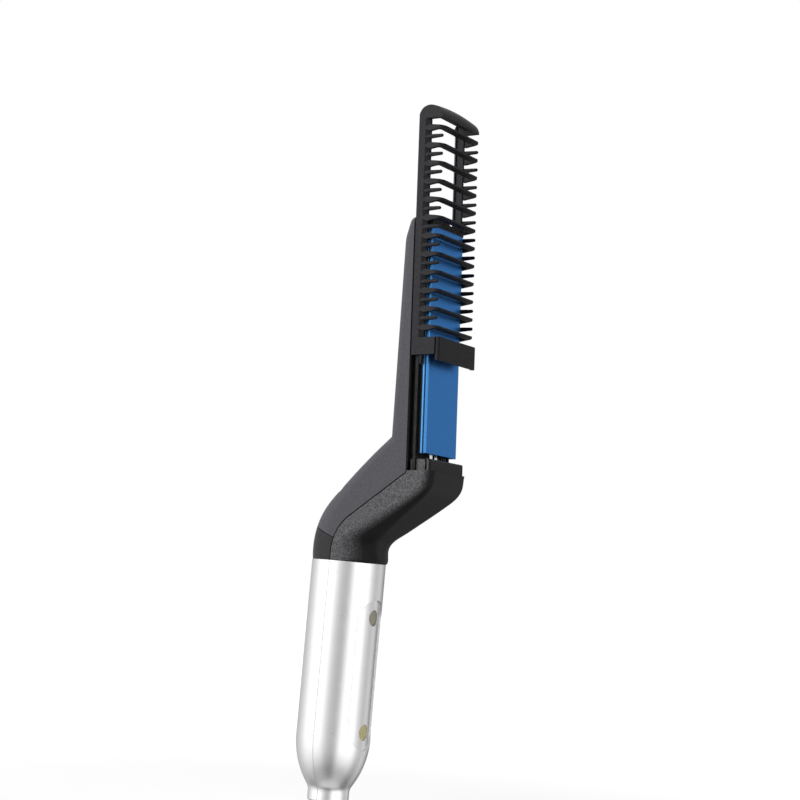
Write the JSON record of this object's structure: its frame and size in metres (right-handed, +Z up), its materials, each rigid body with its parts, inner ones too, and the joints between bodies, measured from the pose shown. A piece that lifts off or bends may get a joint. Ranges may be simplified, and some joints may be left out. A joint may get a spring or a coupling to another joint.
{
  "type": "electric hair comb",
  "caption": "Hand-held electric hair-straightening comb: silver handle with press buttons, cranked black neck, flat blue heater and a toothed comb that slides over it.",
  "frame": {"origin": "centre of the handle's cord end, on the handle's axis, where the cord's gland leaves the spout", "axes": "+Z up the handle's axis to the head, +X to the front where the teeth and buttons point, Y the width"},
  "size_m": [0.0637, 0.035, 0.3129],
  "materials": {
    "silver_lacquer": "silver lacquer on moulded ABS",
    "black_plastic": "fine spark texture",
    "comb_plastic": "satin, heat resistant",
    "button_plastic": "translucent, lit from behind",
    "switch_plastic": "moulded",
    "plunger_plastic": "moulded",
    "board": "solder mask on glass fibre",
    "epoxy": "moulded",
    "led_resin": "clear resin",
    "film_case": "moulded case",
    "capacitor_can": "drawn can",
    "screw_steel": "zinc plated",
    "gland_plastic": "moulded",
    "core_plastic": "moulded",
    "contact_brass": "stamped",
    "lead_black": "silicone sleeve",
    "lead_white": "silicone sleeve",
    "heat_plastic": "glass-filled moulding",
    "blue_anodised": "blue anodised, polished",
    "insulating_film": "polyimide film",
    "electrode_metal": "rolled strip",
    "ceramic": "fired ceramic",
    "fuse_metal": "drawn case",
    "sensor_epoxy": "dipped bead"
  },
  "bodies": {
    "body": {"handle_front_shell": "silver_lacquer", "handle_rear_shell": "silver_lacquer", "neck_front_shell": "black_plastic", "neck_rear_collar": "black_plastic", "head_rear_cover": "black_plastic", "power_switch": "switch_plastic", "heat_switch": "switch_plastic", "circuit_board": "board", "microcontroller": "epoxy", "status_led": "led_resin", "film_capacitor": "film_case", "electrolytic_capacitor": "capacitor_can", "triac": "epoxy", "board_screws": "screw_steel", "contact_leaves": "contact_brass", "heater_leads": "lead_black", "sensor_leads": "lead_white", "handle_screws": "screw_steel", "neck_screws": "screw_steel", "heater_carrier": "heat_plastic", "heater_plate": "blue_anodised", "insulating_films": "insulating_film", "rear_electrode": "electrode_metal", "ptc_stones": "ceramic", "front_electrode": "electrode_metal", "thermal_fuse": "fuse_metal", "thermistor": "sensor_epoxy", "heater_foot_holder": "heat_plastic", "heater_end_cap": "heat_plastic", "head_screws": "screw_steel"},
    "comb": {"comb_attachment": "comb_plastic"},
    "power_button": {"power_button": "button_plastic", "power_switch_plunger": "plunger_plastic"},
    "heat_button": {"heat_button": "button_plastic", "heat_switch_plunger": "plunger_plastic"},
    "cord_swivel": {"cord_swivel_gland": "gland_plastic", "swivel_core": "core_plastic", "swivel_contacts": "contact_brass"}
  },
  "joints": [
    {"name": "comb_slide", "type": "slide", "parent": "body", "child": "comb", "axis": [-0.0593, 0, 0.9982], "range_m": [-0.0476, 0.068]},
    {"name": "power_button_press", "type": "slide", "parent": "body", "child": "power_button", "axis": [-1, 0, 0], "range_m": [0, 0.0006], "stiffness_N_per_m": 1500, "springref_m": -0.0003},
    {"name": "heat_button_press", "type": "slide", "parent": "body", "child": "heat_button", "axis": [-1, 0, 0], "range_m": [0, 0.0006], "stiffness_N_per_m": 1500, "springref_m": -0.0003},
    {"name": "cord_swivel_turn", "type": "hinge", "parent": "body", "child": "cord_swivel", "pos_m": [0, 0, 0], "axis": [0, 0, 1], "continuous": true}
  ]
}
